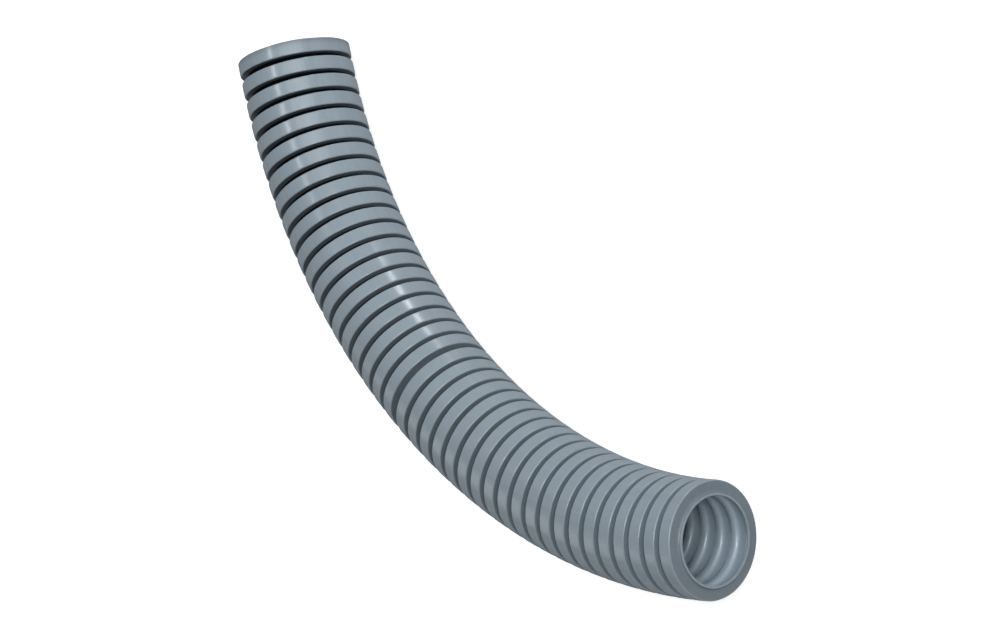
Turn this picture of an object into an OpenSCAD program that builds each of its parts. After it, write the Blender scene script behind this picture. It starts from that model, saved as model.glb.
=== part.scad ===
// Pliable corrugated conduit, size 25, cut to a short length and lying in a flat curve.
// One moulded tube: flat crests outside, narrow grooves between them, and a rounded
// ridge inside under every groove, all in one even wall. Both ends are cut square in the
// middle of a groove, so a short collar stands out beyond each end crest.

/* [Tube] */
// Outside diameter, over the crests
outer_d = 24.8; // [22:0.1:32]
// Bore diameter, over the inner ridges
bore_d = 18.5; // [15:0.1:18.9]
// Thickness of the wall
wall = 0.5; // [0.3:0.05:0.6]

/* [Corrugation] */
// Number of crests, an even number
crest_count = 40; // [4:2:48]
// Width of a crest
crest_w = 3.1; // [2.6:0.1:3.6]
// Width of a groove
groove_w = 1.4; // [1.1:0.1:1.8]
// Extra width of the middle groove, where two lengths of mould block meet
joint_extra = 0.55; // [0:0.05:1.2]
// Radius of the outside edges of a crest
edge_r = 0.3; // [0.1:0.05:0.5]

/* [Bend] */
// Radius of the bend at the centreline
bend_r = 140; // [130:5:400]

/* [Hidden] */
$fn = 48;

outer_r = outer_d / 2;
bore_r = bore_d / 2;
floor_r = bore_r + wall;
trough_r = outer_r - wall;
trough_z = crest_w / 2 - wall;
pitch = crest_w + groove_w;

// Under a groove the wall turns in a half circle: root_r outside and ridge_r inside.
root_r = groove_w / 2;
ridge_r = root_r + wall;
// A ridge meets the straight bore this many degrees short of its top.
blend_angle = 16;
turn_r = bore_r + ridge_r * cos(blend_angle);
// A root meets the straight floor this many degrees short of its bottom.
floor_angle = acos((turn_r - floor_r) / root_r);
// The rounding of a root and of a ridge runs on past the floor and the bore that cut it off,
// to these angles short of its deepest point.
root_tuck_angle = 14;
ridge_tuck_angle = 9;
// How far the straight floor and bore of a groove reach in past the side of a crest: halfway
// from the inside of that side to the middle of the crest
reach = (wall + crest_w / 2) / 2;
// Steps in which each rounding is drawn
edge_steps = 3;
root_steps = 4;
ridge_steps = 5;

// Angle that a length along the centreline takes up in the bend
function bend_angle(s) = s / bend_r * 180 / PI;
pitch_angle = bend_angle(pitch);
// From the middle of the tube to the middle of the crest next to it, and of the end crest
near_angle = bend_angle((pitch + joint_extra) / 2);
end_angle = near_angle + (crest_count / 2 - 1) * pitch_angle;

// Farthest reach of the bend to the outside, at the crests beside the middle groove, and to
// the inside, at the end crests; the middle between the two is y = 0
flat = crest_w / 2 - edge_r;
outside_y = (bend_r + outer_r - edge_r) * cos(near_angle) + flat * sin(near_angle) + edge_r;
inside_y = (bend_r - outer_r + edge_r) * cos(end_angle) - flat * sin(end_angle) - edge_r;
bend_y = -(outside_y + inside_y) / 2;

// Points round (r, z), from angle a to angle b
function rounding(r, z, radius, a, b, steps) = [
    for (i = [0:steps])
        let (t = a + (b - a) * i / steps)
            [r + radius * cos(t), z + radius * sin(t)]
];

// A crest's outside from its middle: flat top and rounded edge
function crest_top() = concat(
    [[outer_r, 0]],
    rounding(outer_r - edge_r, flat, edge_r, 0, 90, edge_steps)
);

// A crest's side at z turns in towards the next crest, and is closed on the axis.
function foot(z, radius, tuck_angle, steps) =
    let (turn = rounding(turn_r, z + radius, radius, -90, tuck_angle - 180, steps))
        concat(turn, [[0, turn[steps][1]]]);

// Half of a crest, from its middle: flat top, rounded edge, side and foot
function crest_half() = concat(
    [[0, 0]],
    crest_top(),
    foot(crest_w / 2, root_r, root_tuck_angle, root_steps)
);

// Half of the hollow in a crest, from its middle: a wide trough and the ridge beside a groove
function hollow_half() = concat(
    [[0, 0], [trough_r, 0], [trough_r, trough_z]],
    foot(trough_z, ridge_r, ridge_tuck_angle, ridge_steps)
);

// The wall of an open end, from the middle of the end crest: down the crest's side into half a
// groove, over the cut edge, and back along the ridge and the trough inside
function end_half() = concat(
    crest_top(),
    rounding(turn_r, pitch / 2, root_r, -90, floor_angle - 180, root_steps),
    [[floor_r, pitch / 2], [bore_r, pitch / 2]],
    rounding(turn_r, pitch / 2, ridge_r, blend_angle - 180, -90, ridge_steps),
    [[trough_r, trough_z], [trough_r, 0]]
);

// The modules from here to conduit() have the bend's centre at the origin. Each starts at a
// crest whose middle is straight ahead, along Y, and goes on clockwise.

// Sets a shape of revolution on the centreline, with its axis along the tube
module on_centreline() {
    translate([0, bend_r, 0])
        rotate([0, 90, 0])
            children();
}

module turned(half) {
    on_centreline()
        rotate_extrude()
            polygon(half);
}

// What lies between the middles of two crests that are turned by an angle, from the half
// outline of a crest and the radius of the straight stretch under the groove
module between_crests(turn_angle, half, r) {
    turned(half);
    rotate([0, 0, -turn_angle])
        mirror([1, 0, 0])
            turned(half);
    rotate([0, 0, -turn_angle / 2])
        on_centreline()
            cylinder(r=r, h=turn_angle * PI / 180 * bend_r - crest_w + 2 * reach, center=true);
}

// One groove, with half a crest on each side
module cell(turn_angle) {
    difference() {
        union()
            between_crests(turn_angle, crest_half(), floor_r);
        union()
            between_crests(turn_angle, hollow_half(), bore_r);
    }
}

// The tube from the middle of a crest to the open end, over a number of grooves
module onward(grooves) {
    if (grooves > 0) {
        cell(pitch_angle);
        rotate([0, 0, -pitch_angle])
            onward(grooves - 1);
    } else
        turned(end_half());
}

// The middle groove, which is a little wider, and the tube's two alike sides
module conduit() {
    color([0.57, 0.62, 0.66])
        translate([0, bend_y, outer_r])
            rotate([0, 0, near_angle]) {
                cell(2 * near_angle);
                rotate([0, 0, -2 * near_angle])
                    onward(crest_count / 2 - 1);
                mirror([1, 0, 0])
                    onward(crest_count / 2 - 1);
            }
}

conduit();
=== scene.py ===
# %% [markdown]
# # A short length of corrugated conduit
#
# Pliable conduit protects cables that have to follow a curve. It is blown from one plastic
# tube inside a moving chain of mould blocks, which press it into flat crests and narrow
# grooves, so that it bends like a spring but keeps its round bore. This lesson gives the
# finished CAD model of such a tube its looks: a smooth surface, a moulded-plastic finish,
# soft light, a pale floor and a camera.

# %% Load the frame
import math

import bpy
import numpy as np
from mathutils import Matrix, Vector


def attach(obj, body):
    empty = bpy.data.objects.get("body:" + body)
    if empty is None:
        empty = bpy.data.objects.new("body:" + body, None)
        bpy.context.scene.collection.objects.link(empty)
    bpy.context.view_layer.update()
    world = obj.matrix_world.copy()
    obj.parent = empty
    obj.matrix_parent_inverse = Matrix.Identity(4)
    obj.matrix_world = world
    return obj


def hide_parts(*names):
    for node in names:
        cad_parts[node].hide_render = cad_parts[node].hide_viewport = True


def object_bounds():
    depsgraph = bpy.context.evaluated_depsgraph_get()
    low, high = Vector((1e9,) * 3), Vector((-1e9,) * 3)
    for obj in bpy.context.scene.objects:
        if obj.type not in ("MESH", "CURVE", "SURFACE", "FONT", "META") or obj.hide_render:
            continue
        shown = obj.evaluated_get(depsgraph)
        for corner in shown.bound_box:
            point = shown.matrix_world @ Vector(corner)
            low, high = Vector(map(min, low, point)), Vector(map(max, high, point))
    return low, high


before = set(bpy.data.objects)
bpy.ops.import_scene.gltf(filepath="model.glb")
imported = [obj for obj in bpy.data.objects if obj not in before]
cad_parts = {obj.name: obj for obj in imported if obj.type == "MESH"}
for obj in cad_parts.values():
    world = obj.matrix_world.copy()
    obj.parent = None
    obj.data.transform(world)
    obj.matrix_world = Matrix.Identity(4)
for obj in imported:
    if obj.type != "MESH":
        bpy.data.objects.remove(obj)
cad_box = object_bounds()
print("CAD box in mm:", [[round(c * 1000, 2) for c in corner] for corner in cad_box])

# %% [markdown]
# ## The sizes
#
# The CAD model states the real sizes, and the lesson repeats them in metres, so that the
# new surface lies exactly where the solid does. A crest is a short straight ring. The bend
# comes from each ring being turned a little further than the one before it.

# %% Sizes of the tube
MM = 0.001
OUTER_R = 12.4 * MM
BORE_R = 9.25 * MM
WALL = 0.5 * MM
CREST_W = 3.1 * MM
GROOVE_W = 1.4 * MM
JOINT_EXTRA = 0.55 * MM
EDGE_R = 0.3 * MM
BEND_R = 140 * MM
CRESTS = 40

PITCH = CREST_W + GROOVE_W
ROOT_R = GROOVE_W / 2
RIDGE_R = ROOT_R + WALL
BLEND = 16.0
TURN_R = BORE_R + RIDGE_R * math.cos(math.radians(BLEND))
FLOOR_R = BORE_R + WALL
print("pitch", round(PITCH / MM, 2), "mm; wall turns at radius", round(TURN_R / MM, 3), "mm")

# %% [markdown]
# ## The outline of the wall
#
# Cut lengthwise, the wall is a thin band that goes up over a crest, down a side, round the
# bottom of a groove and up again. Each bend of the band is part of a circle, so the outline
# is worked out as arcs. Every point also gets the direction in which the surface faces
# there. The circle gives it exactly, which lets the light run over a rounding that has only
# a few points.

# %% Arcs of the outline
def arc(z, r, radius, start, stop, steps, facing=1):
    """Points on a circle about (z, r), from one angle to another, in equal steps.

    An angle is measured from the direction away from the axis towards +z. Each row is
    z, r and the surface's direction: out of the circle, or into it where facing is -1."""
    t = np.radians(np.linspace(start, stop, steps + 1))
    across, away = np.sin(t), np.cos(t)
    return np.stack([z + radius * across, r + radius * away, facing * across, facing * away], 1)


def softened(rows, at, towards):
    """The rows, with the direction at one of them halfway to another direction."""
    rows = rows.copy()
    mixed = rows[at, 2:] + np.array(towards, float)
    rows[at, 2:] = mixed / np.linalg.norm(mixed)
    return rows


def other_side(rows):
    """The same rows mirrored to negative z, in the other order."""
    return rows[::-1] * np.array([-1.0, 1.0, -1.0, 1.0])


# %% Outline of a crest and its hollow
FLOOR_ANGLE = 180 - math.degrees(math.acos((TURN_R - BORE_R - WALL) / ROOT_R))
outer_edge = arc(CREST_W / 2 - EDGE_R, OUTER_R - EDGE_R, EDGE_R, 0, 90, 3)
root = arc(CREST_W / 2 + ROOT_R, TURN_R, ROOT_R, -90, -FLOOR_ANGLE, 4, -1)
root = softened(root, -1, (0, 1))
outer_half = np.concatenate([outer_edge, root])

CORNER_R = 0.25 * MM
TROUGH_Z = CREST_W / 2 - WALL
corner = arc(TROUGH_Z - CORNER_R, OUTER_R - WALL - CORNER_R, CORNER_R, 0, 90, 2, -1)
ridge = arc(TROUGH_Z + RIDGE_R, TURN_R, RIDGE_R, -90, BLEND - 180, 4)
ridge = softened(ridge, -1, (0, -1))
inner_half = np.concatenate([corner, ridge])
print("points on half a crest:", len(outer_half), "outside,", len(inner_half), "inside")

# %% [markdown]
# ## The ends
#
# The conduit is cut with a knife in the middle of a groove, where the wall is easiest to
# reach. What stays beyond the end crest is half a groove: a short collar that shows how thin
# the wall is. The knife leaves two corners, which are just rounded enough to catch light.

# %% Outline of the cut edge
CUT_Z = PITCH / 2
CUT_R = 0.06 * MM
cut = np.concatenate([arc(CUT_Z - CUT_R, FLOOR_R - CUT_R, CUT_R, 0, 90, 2),
                      arc(CUT_Z - CUT_R, BORE_R + CUT_R, CUT_R, 90, 180, 2)])
print("the bore is", round(2 * cut[:, 1].min() / MM, 2), "mm across, the edge of the wall",
      round((cut[:, 1].max() - cut[:, 1].min()) / MM, 2), "mm thick")

# %% [markdown]
# ## From the outline to the whole tube
#
# A ring of points is needed for each point of the outline. Its rows are gathered crest by
# crest, along the outside to the far end, over the cut edge, back along the inside and over
# the other cut edge, so that the outline closes on itself. A second parameter then goes
# round the tube. The two make one grid that is closed both ways, so the wall has no gap or
# seam, and numpy works out all of its points in a few lines.

# %% Rows of the whole outline
crest_place = (np.arange(CRESTS) - (CRESTS - 1) / 2) * PITCH
crest_place += np.sign(crest_place) * JOINT_EXTRA / 2
outside = np.concatenate([other_side(outer_half), outer_half])
inside = np.concatenate([other_side(inner_half), inner_half])
rows = np.concatenate([np.tile(outside, (CRESTS, 1)), cut,
                       np.tile(inside, (CRESTS, 1))[::-1], other_side(cut)])
row_crest = np.concatenate([np.repeat(np.arange(CRESTS), len(outside)),
                            np.full(len(cut), CRESTS - 1),
                            np.repeat(np.arange(CRESTS), len(inside))[::-1],
                            np.zeros(len(cut), int)])
print("the closed outline has", len(rows), "points")

# %% [markdown]
# ## Where the painted shade goes
#
# The grooves get painted shade, so each row carries its depth: 0 on a crest and 1 on the floor
# of a groove. The wider groove in the middle, at the joint of the mould, has its depth held at
# a half, so that its painted shade stays lighter. The half groove at each open end takes one
# middling depth for all of it. That depth is smaller at the right end, where the painted shade
# is darker all over. A second number marks the rows inside the bore.

# %% How deep in a groove each row lies
# These depths only set the painted shade of the grooves, the open ends and the cut edges
JOINT_DEPTH = 0.5
LEFT_END_DEPTH = 0.6
RIGHT_END_DEPTH = 0.1
CUT_DEPTH = 0.1
CREST_TOP = 0.08

depth = (OUTER_R - rows[:, 1]) / (OUTER_R - FLOOR_R)
n_outside = CRESTS * len(outside)
half = np.full(len(rows), -1)
half[:n_outside] = np.repeat(np.arange(2 * CRESTS), len(outer_half))
joint = np.isin(half, [CRESTS - 1, CRESTS])
depth[joint] = np.minimum(depth[joint], JOINT_DEPTH)
depth[(half == 0) & (depth > CREST_TOP)] = LEFT_END_DEPTH
depth[half == 2 * CRESTS - 1] = RIGHT_END_DEPTH
depth[half < 0] = 0
depth[n_outside:n_outside + len(cut)] = CUT_DEPTH
depth[-len(cut):] = CUT_DEPTH
within = np.zeros(len(rows))
within[n_outside + len(cut):-len(cut)] = 1
print("depth goes from 0 on a crest to", round(depth.max(), 2), "on the floor of a groove;",
      int(within.sum()), "rows lie inside")

# %% [markdown]
# ## Bending the tube
#
# A bent length could be made with a curve modifier, but that would stretch the outside of
# each crest and squeeze its inside. In the real tube the crests stay stiff, round rings and
# only the grooves between them give way. So each crest is kept whole and is placed and turned
# as one, at its own point on the arc. The places along the straight tube are kept too,
# because the finish is drawn in them.

# %% Points of the bent tube
AROUND = 72
BEND_Y = (cad_box[1][1] - (BEND_R + OUTER_R - EDGE_R) * math.cos(crest_place[CRESTS // 2] / BEND_R)
          - (CREST_W / 2 - EDGE_R) * math.sin(crest_place[CRESTS // 2] / BEND_R) - EDGE_R)


def bent_tube(rows, row_crest, around):
    """Points, surface directions and straight-tube places on a grid of rows by angles.

    Each crest has three directions: along the tube, away from the bend's centre, and up.
    A point is its crest's centre, plus z along the tube, plus r in the direction that the
    angle gives between away and up. The straight-tube place is the same point with the
    bend taken out, for patterns that follow the tube."""
    place = crest_place[row_crest]
    turn = place / BEND_R
    flat = np.zeros_like(turn)
    along = np.stack([np.cos(turn), -np.sin(turn), flat], 1)[:, None]
    away = np.stack([np.sin(turn), np.cos(turn), flat], 1)[:, None]
    centre = BEND_R * away + np.array([0, BEND_Y, OUTER_R])
    angle = np.linspace(0, 2 * np.pi, around, endpoint=False)[None, :, None]
    out = np.cos(angle) * away + np.sin(angle) * np.array([0, 0, 1.0])
    z, r, face_z, face_r = (rows[:, i, None, None] for i in range(4))
    points = centre + z * along + r * out
    facing = face_z * along + face_r * out
    straight = np.concatenate([r * np.cos(angle), r * np.sin(angle),
                               (place[:, None, None] + z) * np.ones_like(angle)], 2)
    return points.reshape(-1, 3), facing.reshape(-1, 3), straight.reshape(-1, 3)


points, facing, straight = bent_tube(rows, row_crest, AROUND)
depth, within = np.repeat(depth, AROUND), np.repeat(within, AROUND)
print("grid of", len(rows), "by", AROUND, "gives", len(points), "points")

# %% [markdown]
# ## The mesh
#
# Neighbouring rows and neighbouring angles are joined by four-sided faces. Both counts wrap
# round to the start. The directions worked out above become the mesh's own normals, so that
# a flat crest shades flat right up to its rounded edge.

# %% Mesh from the grid
def closed_grid_faces(n_rows, n_around):
    """Corner numbers of a grid's four-sided faces, with both directions wrapping round."""
    row, col = np.meshgrid(np.arange(n_rows), np.arange(n_around), indexing="ij")
    next_row, next_col = (row + 1) % n_rows, (col + 1) % n_around
    corners = [row * n_around + col, row * n_around + next_col,
               next_row * n_around + next_col, next_row * n_around + col]
    return np.stack([c.ravel() for c in corners], 1)


def mesh_piece(name, points, faces, facing, straight, depth, within):
    """A mesh object at the origin from point and face arrays, shaded smooth."""
    a, b, c = points[faces[:, 0]], points[faces[:, 1]], points[faces[:, 2]]
    outward = np.einsum("ij,ij->i", np.cross(b - a, c - a), facing[faces[:, 0]])
    if outward.sum() < 0:
        faces = faces[:, ::-1]
    mesh = bpy.data.meshes.new(name)
    mesh.from_pydata(points.tolist(), [], faces.tolist())
    mesh.polygons.foreach_set("use_smooth", np.ones(len(faces), bool))
    mesh.normals_split_custom_set_from_vertices(facing.tolist())
    place = mesh.attributes.new("straight_place", "FLOAT_VECTOR", "POINT")
    place.data.foreach_set("vector", straight.astype(np.float32).ravel())
    # The depth of each point sets how much painted shade it gets
    deep = mesh.attributes.new("groove_depth", "FLOAT", "POINT")
    deep.data.foreach_set("value", depth.astype(np.float32))
    # The inside flag marks where painted light pales the bore
    inner = mesh.attributes.new("inside", "FLOAT", "POINT")
    inner.data.foreach_set("value", within.astype(np.float32))
    piece = bpy.data.objects.new(name, mesh)
    bpy.context.scene.collection.objects.link(piece)
    return piece


tube = mesh_piece("conduit_wall", points, closed_grid_faces(len(rows), AROUND), facing,
                  straight, depth, within)
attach(tube, "root")
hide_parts("conduit")
low, high = points.min(0), points.max(0)
print("tube box in mm:", np.round(low * 1000, 2), np.round(high * 1000, 2),
      "with", 2 * len(tube.data.polygons), "triangles")

# %% [markdown]
# ## The plastic
#
# The real tube is one grey plastic, coloured right through, with a soft sheen. What keeps it
# from looking like paint is slight: the melt leaves faint streaks along the tube, the mould
# leaves a fine grain on the crests, and the colour is a little uneven. Painted shade darkens
# the sides of the crests, more so towards one end, and a painted shadow lies dark on the floor
# of the grooves, while painted light makes the bore a little paler. Each of these is a
# pattern in the straight tube's coordinates, so it follows the bend. They sit in one node
# group, which puts out a colour, a roughness, a height, and how much gloss the painted shade
# leaves.

# %% Helpers for nodes
def add_node(tree, kind, **settings):
    """A new node of the kind, with its settings and the plain values of its inputs."""
    node = tree.nodes.new(kind)
    for key, value in settings.items():
        if key in node.bl_rna.properties:
            setattr(node, key, value)
        else:
            node.inputs[key.replace("_", " ")].default_value = value
    return node


def times(tree, a, b):
    """Output of a node that multiplies two outputs."""
    node = add_node(tree, "ShaderNodeMath", operation="MULTIPLY")
    tree.links.new(a, node.inputs[0])
    tree.links.new(b, node.inputs[1])
    return node.outputs["Value"]


def scaled_plus(tree, a, scale, b):
    """Output of a node that scales one output by a number and adds another output."""
    node = add_node(tree, "ShaderNodeMath", operation="MULTIPLY_ADD")
    tree.links.new(a, node.inputs[0])
    node.inputs[1].default_value = scale
    tree.links.new(b, node.inputs[2])
    return node.outputs["Value"]


# %% Node group for moulded plastic: what goes in and what comes out
moulded = bpy.data.node_groups.new("moulded plastic", "ShaderNodeTree")
for name, direction, kind in (
        ("Place", "INPUT", "NodeSocketVector"), ("Colour", "INPUT", "NodeSocketColor"),
        ("Roughness", "INPUT", "NodeSocketFloat"), ("Depth", "INPUT", "NodeSocketFloat"),
        ("Inside", "INPUT", "NodeSocketFloat"), ("Colour", "OUTPUT", "NodeSocketColor"),
        ("Roughness", "OUTPUT", "NodeSocketFloat"), ("Height", "OUTPUT", "NodeSocketFloat"),
        ("Gloss", "OUTPUT", "NodeSocketFloat")):
    moulded.interface.new_socket(name=name, in_out=direction, socket_type=kind)
given = moulded.nodes.new("NodeGroupInput")
result = moulded.nodes.new("NodeGroupOutput")
link = moulded.links.new
print("sockets of the group:", len(moulded.interface.items_tree))

# %% Streaks, patches and grain
# Streaks: noise that changes quickly round the tube and hardly at all along it
stretched = add_node(moulded, "ShaderNodeMapping", Scale=(1, 1, 0.02))
streaks = add_node(moulded, "ShaderNodeTexNoise", Scale=900.0, Detail=3.0, Roughness=0.6)
link(given.outputs["Place"], stretched.inputs["Vector"])
link(stretched.outputs["Vector"], streaks.inputs["Vector"])

# Unevenness of the colour, some millimetres across, and the mould's grain, much finer
patches = add_node(moulded, "ShaderNodeTexNoise", Scale=140.0, Detail=4.0, Roughness=0.55)
grain = add_node(moulded, "ShaderNodeTexNoise", Scale=9000.0, Detail=2.0)
link(given.outputs["Place"], patches.inputs["Vector"])
link(given.outputs["Place"], grain.inputs["Vector"])
print("three noise patterns, from", patches.inputs["Scale"].default_value, "to",
      grain.inputs["Scale"].default_value, "to the metre")

# %% [markdown]
# ## Dust
#
# Painted shade is a factor on the colour: 1 where there is none. A light painted shade lies on
# the sides of the crests. It starts just below their tops and is darker towards the right end.
# On top of it comes a painted shadow on the floor of each groove, which is nearly black. Where
# the painted shade lies there is no gloss either, so the same factor goes out as Gloss.

# %% Painted shade in the grooves
TUBE_HALF = 0.09
# Painted shade: a light shade on the crest sides, darker towards the right end, and a near-black
# painted shadow on the groove floors
along = add_node(moulded, "ShaderNodeSeparateXYZ")
shade_along_tube = add_node(moulded, "ShaderNodeMapRange", From_Min=-TUBE_HALF, From_Max=TUBE_HALF,
                     To_Min=0.95, To_Max=0.45)
side_shade = add_node(moulded, "ShaderNodeMapRange", interpolation_type="SMOOTHSTEP",
                From_Min=0.04, From_Max=0.16, To_Min=1.0)
floor_shade = add_node(moulded, "ShaderNodeMapRange", interpolation_type="SMOOTHSTEP",
                From_Min=0.45, From_Max=0.85, To_Min=1.0, To_Max=0.05)
link(given.outputs["Place"], along.inputs["Vector"])
link(along.outputs["Z"], shade_along_tube.inputs["Value"])
link(shade_along_tube.outputs["Result"], side_shade.inputs["To Max"])
link(given.outputs["Depth"], side_shade.inputs["Value"])
link(given.outputs["Depth"], floor_shade.inputs["Value"])
painted_shade = times(moulded, side_shade.outputs["Result"], floor_shade.outputs["Result"])
link(painted_shade, result.inputs["Gloss"])
# Prints how dark the painted shadow on the groove floors gets
print("the deepest dust leaves", round(floor_shade.inputs["To Max"].default_value, 2),
      "of the colour")

# %% [markdown]
# ## What the patterns do
#
# The patches and streaks make the colour a few hundredths lighter or darker. The streaks also
# change the roughness a little and, with a touch of grain, make the height that the bump
# reads. The bore is made paler by painted light, added to the painted shade factor inside it.

# %% Colour, roughness and height of the plastic
STREAK_SHARE = 0.6
# The gain inside the bore is painted light that makes the bore paler
BORE_PAINTED_LIGHT = 0.4
ROUGHNESS_SWING = 0.2
GRAIN_HEIGHT = 0.15
uneven = add_node(moulded, "ShaderNodeMix", data_type="FLOAT")
uneven.inputs[0].default_value = STREAK_SHARE
link(patches.outputs["Fac"], uneven.inputs[2])
link(streaks.outputs["Fac"], uneven.inputs[3])
level = add_node(moulded, "ShaderNodeMapRange", From_Min=0.3, From_Max=0.7,
                 To_Min=0.94, To_Max=1.06)
link(uneven.outputs[0], level.inputs["Value"])
# Painted light for the bore, added to the painted shade of the grooves
shade_and_bore_light = scaled_plus(moulded, given.outputs["Inside"], BORE_PAINTED_LIGHT, painted_shade)
tinted = add_node(moulded, "ShaderNodeVectorMath", operation="SCALE")
link(given.outputs["Colour"], tinted.inputs["Vector"])
link(times(moulded, level.outputs["Result"], shade_and_bore_light), tinted.inputs["Scale"])
link(tinted.outputs["Vector"], result.inputs["Colour"])

centred = add_node(moulded, "ShaderNodeMath", operation="SUBTRACT")
centred.inputs[1].default_value = 0.5
link(streaks.outputs["Fac"], centred.inputs[0])
link(scaled_plus(moulded, centred.outputs["Value"], ROUGHNESS_SWING,
                 given.outputs["Roughness"]), result.inputs["Roughness"])
link(scaled_plus(moulded, grain.outputs["Fac"], GRAIN_HEIGHT, streaks.outputs["Fac"]),
     result.inputs["Height"])
print("the plastic group has", len(moulded.nodes), "nodes")

# %% [markdown]
# ## From plastic to tube
#
# The body of the plastic is dull, and its sheen is a clear coat on top, soft enough to spread
# a reflection a little. The fine roughness of a moulded skin breaks up reflections seen at a
# glancing angle, so the coat grows weaker as the surface turns away from the eye. Layer Weight
# gives that angle.

# %% Material of the tube
plastic = bpy.data.materials.new("grey conduit plastic")
plastic.use_nodes = True
tree = plastic.node_tree
shader = tree.nodes["Principled BSDF"]
finish = tree.nodes.new("ShaderNodeGroup")
finish.node_tree = moulded
finish.inputs["Colour"].default_value = (0.238, 0.295, 0.341, 1)
finish.inputs["Roughness"].default_value = 0.5
for attribute, output, socket in (("straight_place", "Vector", "Place"),
                                  ("groove_depth", "Fac", "Depth"), ("inside", "Fac", "Inside")):
    values = add_node(tree, "ShaderNodeAttribute", attribute_name=attribute)
    tree.links.new(values.outputs[output], finish.inputs[socket])
bump = add_node(tree, "ShaderNodeBump", Strength=0.2, Distance=0.0003)
tree.links.new(finish.outputs["Colour"], shader.inputs["Base Color"])
tree.links.new(finish.outputs["Roughness"], shader.inputs["Roughness"])
tree.links.new(finish.outputs["Height"], bump.inputs["Height"])
tree.links.new(bump.outputs["Normal"], shader.inputs["Normal"])
shader.inputs["Specular IOR Level"].default_value = 0.0
print("base roughness about", round(finish.inputs["Roughness"].default_value, 2))

# %% Sheen of the tube
shader.inputs["Coat Roughness"].default_value = 0.22
slant = add_node(tree, "ShaderNodeLayerWeight", Blend=0.5)
towards_eye = add_node(tree, "ShaderNodeMath", operation="SUBTRACT")
towards_eye.inputs[0].default_value = 1.0
tree.links.new(slant.outputs["Facing"], towards_eye.inputs[1])
tree.links.new(times(tree, finish.outputs["Gloss"], towards_eye.outputs["Value"]),
               shader.inputs["Coat Weight"])
tube.data.materials.append(plastic)
print("material:", plastic.name, "with", len(tree.nodes), "nodes")

# %% [markdown]
# ## Floor and background
#
# The tube lies on a plain pale floor. A white background must not come from more light,
# because that would wash out the object. Instead the floor's material is mixed with a plain
# white glow that only the camera and reflections see, so the shadow stays and the rest of
# the floor comes out white.

# %% Helper for what is seen directly
def seen_directly(tree):
    """Output that is 1 for what the camera sees, also by reflection or through glass, else 0."""
    path = tree.nodes.new("ShaderNodeLightPath")
    mirrored = add_node(tree, "ShaderNodeMath", operation="MAXIMUM")
    seen = add_node(tree, "ShaderNodeMath", operation="MAXIMUM")
    tree.links.new(path.outputs["Is Camera Ray"], mirrored.inputs[0])
    tree.links.new(path.outputs["Is Glossy Ray"], mirrored.inputs[1])
    tree.links.new(mirrored.outputs["Value"], seen.inputs[0])
    tree.links.new(path.outputs["Is Transmission Ray"], seen.inputs[1])
    return seen.outputs["Value"]


# %% Floor
FLOOR_HALF = 6.0
floor_mesh = bpy.data.meshes.new("floor")
floor_mesh.from_pydata([(-FLOOR_HALF, -FLOOR_HALF, 0), (FLOOR_HALF, -FLOOR_HALF, 0),
                        (FLOOR_HALF, FLOOR_HALF, 0), (-FLOOR_HALF, FLOOR_HALF, 0)],
                       [], [(0, 1, 2, 3)])
floor = bpy.data.objects.new("floor", floor_mesh)
bpy.context.scene.collection.objects.link(floor)
print("floor of", 2 * FLOOR_HALF, "m")

# %% Material of the floor
pale = bpy.data.materials.new("pale floor")
pale.use_nodes = True
tree = pale.node_tree
surface = tree.nodes["Principled BSDF"]
surface.inputs["Base Color"].default_value = (0.6, 0.6, 0.61, 1)
surface.inputs["Roughness"].default_value = 0.9
glow = add_node(tree, "ShaderNodeEmission", Strength=0.75)
both = tree.nodes.new("ShaderNodeAddShader")
choice = tree.nodes.new("ShaderNodeMixShader")
tree.links.new(surface.outputs["BSDF"], both.inputs[0])
tree.links.new(glow.outputs["Emission"], both.inputs[1])
tree.links.new(seen_directly(tree), choice.inputs["Fac"])
tree.links.new(surface.outputs["BSDF"], choice.inputs[1])
tree.links.new(both.outputs["Shader"], choice.inputs[2])
tree.links.new(choice.outputs["Shader"], tree.nodes["Material Output"].inputs["Surface"])
floor.data.materials.append(pale)
print("white glow on the floor:", glow.inputs["Strength"].default_value)

# %% [markdown]
# ## Light
#
# Two large soft lamps light the tube. One stands near the viewer and reaches into the open
# end. The other is the largest, stands on the inside of the bend and models the crests. A
# third, low and weaker, keeps the far side from going black. Two narrow strips add hardly any
# light. They are there to be reflected, as bright lines that run over the crests. A dim even
# sky fills in the rest, and what is seen of it directly is plain white.

# %% Lamps
AIM = Vector((-0.000568, -0.006761, 0.00717))


def direction(azimuth, elevation):
    """The unit vector from the object towards an azimuth and an elevation, in degrees."""
    a, e = math.radians(azimuth), math.radians(elevation)
    return Vector((math.cos(e) * math.cos(a), math.cos(e) * math.sin(a), math.sin(e)))


def soft_lamp(name, azimuth, elevation, distance, width, height, watts):
    """A rectangular lamp that faces the object from a direction and a distance."""
    data = bpy.data.lights.new(name, "AREA")
    data.shape, data.size, data.size_y, data.energy = "RECTANGLE", width, height, watts
    lamp = bpy.data.objects.new(name, data)
    lamp.location = AIM + distance * direction(azimuth, elevation)
    lamp.rotation_euler = direction(azimuth, elevation).to_track_quat("Z", "Y").to_euler()
    bpy.context.scene.collection.objects.link(lamp)


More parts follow.
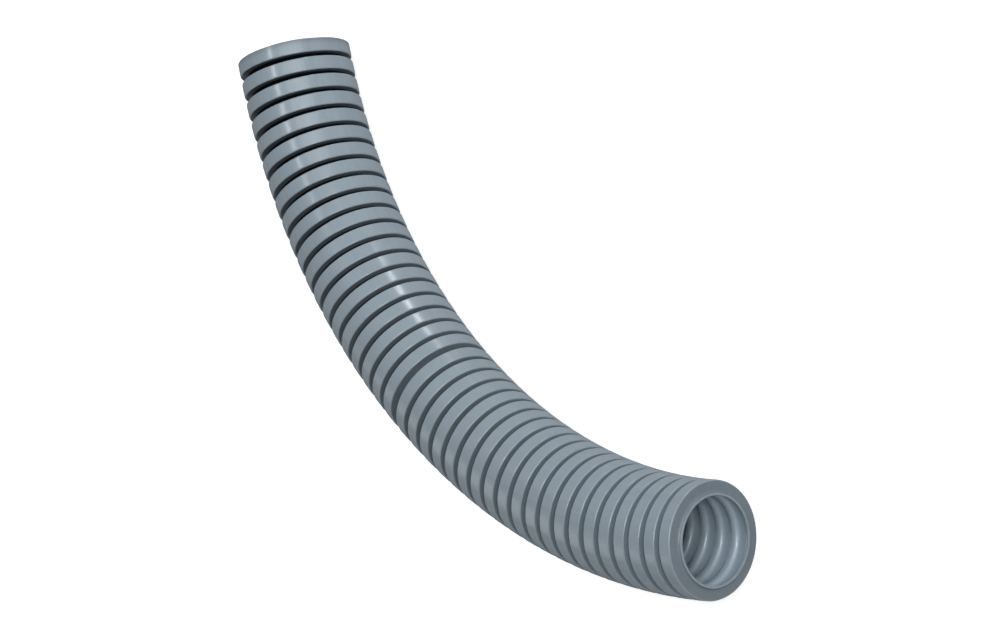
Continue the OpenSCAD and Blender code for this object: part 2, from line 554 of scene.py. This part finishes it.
# Azimuth and elevation in degrees, then distance, width and height in metres, then watts
soft_lamp("front lamp", -142, 43, 3.0, 0.9, 0.9, 26.5)
soft_lamp("side lamp", -112, 45, 2.4, 2.1, 2.1, 33.0)
soft_lamp("back lamp", 60, 25, 2.4, 0.9, 0.9, 5.0)
soft_lamp("top strip", -32, 76, 1.2, 0.12, 0.5, 2.4)
soft_lamp("low strip", -64, 4, 1.2, 0.3, 0.16, 2.8)
print("lamps:", len(bpy.data.lights))

# %% Sky
world = bpy.data.worlds.new("soft sky")
bpy.context.scene.world = world
world.use_nodes = True
sky = world.node_tree
background = sky.nodes["Background"]
background.inputs["Color"].default_value = (0.93, 0.96, 1.0, 1)
background.inputs["Strength"].default_value = 0.05
white = add_node(sky, "ShaderNodeBackground", Strength=1.0)
white.inputs["Color"].default_value = (1, 1, 1, 1)
pick = sky.nodes.new("ShaderNodeMixShader")
sky.links.new(seen_directly(sky), pick.inputs["Fac"])
sky.links.new(background.outputs["Background"], pick.inputs[1])
sky.links.new(white.outputs["Background"], pick.inputs[2])
sky.links.new(pick.outputs["Shader"], sky.nodes["World Output"].inputs["Surface"])
print("sky strength", background.inputs["Strength"].default_value)

# %% [markdown]
# ## Camera
#
# The view is from above and well off to one side, through a long lens. The camera is turned
# on its side, so that the tube sweeps from the upper left to the lower right.

# %% Camera
VIEW_AZIMUTH = -141.354
VIEW_ELEVATION = 41.736
VIEW_DISTANCE = 1.21525
VIEW_ROLL = -90.882
LENS = 206.45

camera_data = bpy.data.cameras.new("camera")
camera_data.lens = LENS
camera_data.sensor_width = 36.0
camera_data.clip_start = 0.01
camera = bpy.data.objects.new("camera", camera_data)
towards = direction(VIEW_AZIMUTH, VIEW_ELEVATION)
level_view = towards.to_track_quat("Z", "Y").to_matrix()
camera.matrix_world = (Matrix.Translation(AIM + VIEW_DISTANCE * towards)
                       @ (level_view @ Matrix.Rotation(math.radians(VIEW_ROLL), 3, "Z")).to_4x4())
bpy.context.scene.collection.objects.link(camera)
bpy.context.scene.camera = camera
bpy.context.scene.view_settings.view_transform = "Standard"
print("camera at", [round(c, 4) for c in camera.location])

# %% [markdown]
# ## The sizes at the end
#
# Looks must not change the size. The box of the CAD model and the box of the dressed tube are
# both printed above, so that they can be set side by side.

# %% The end
bpy.context.view_layer.update()
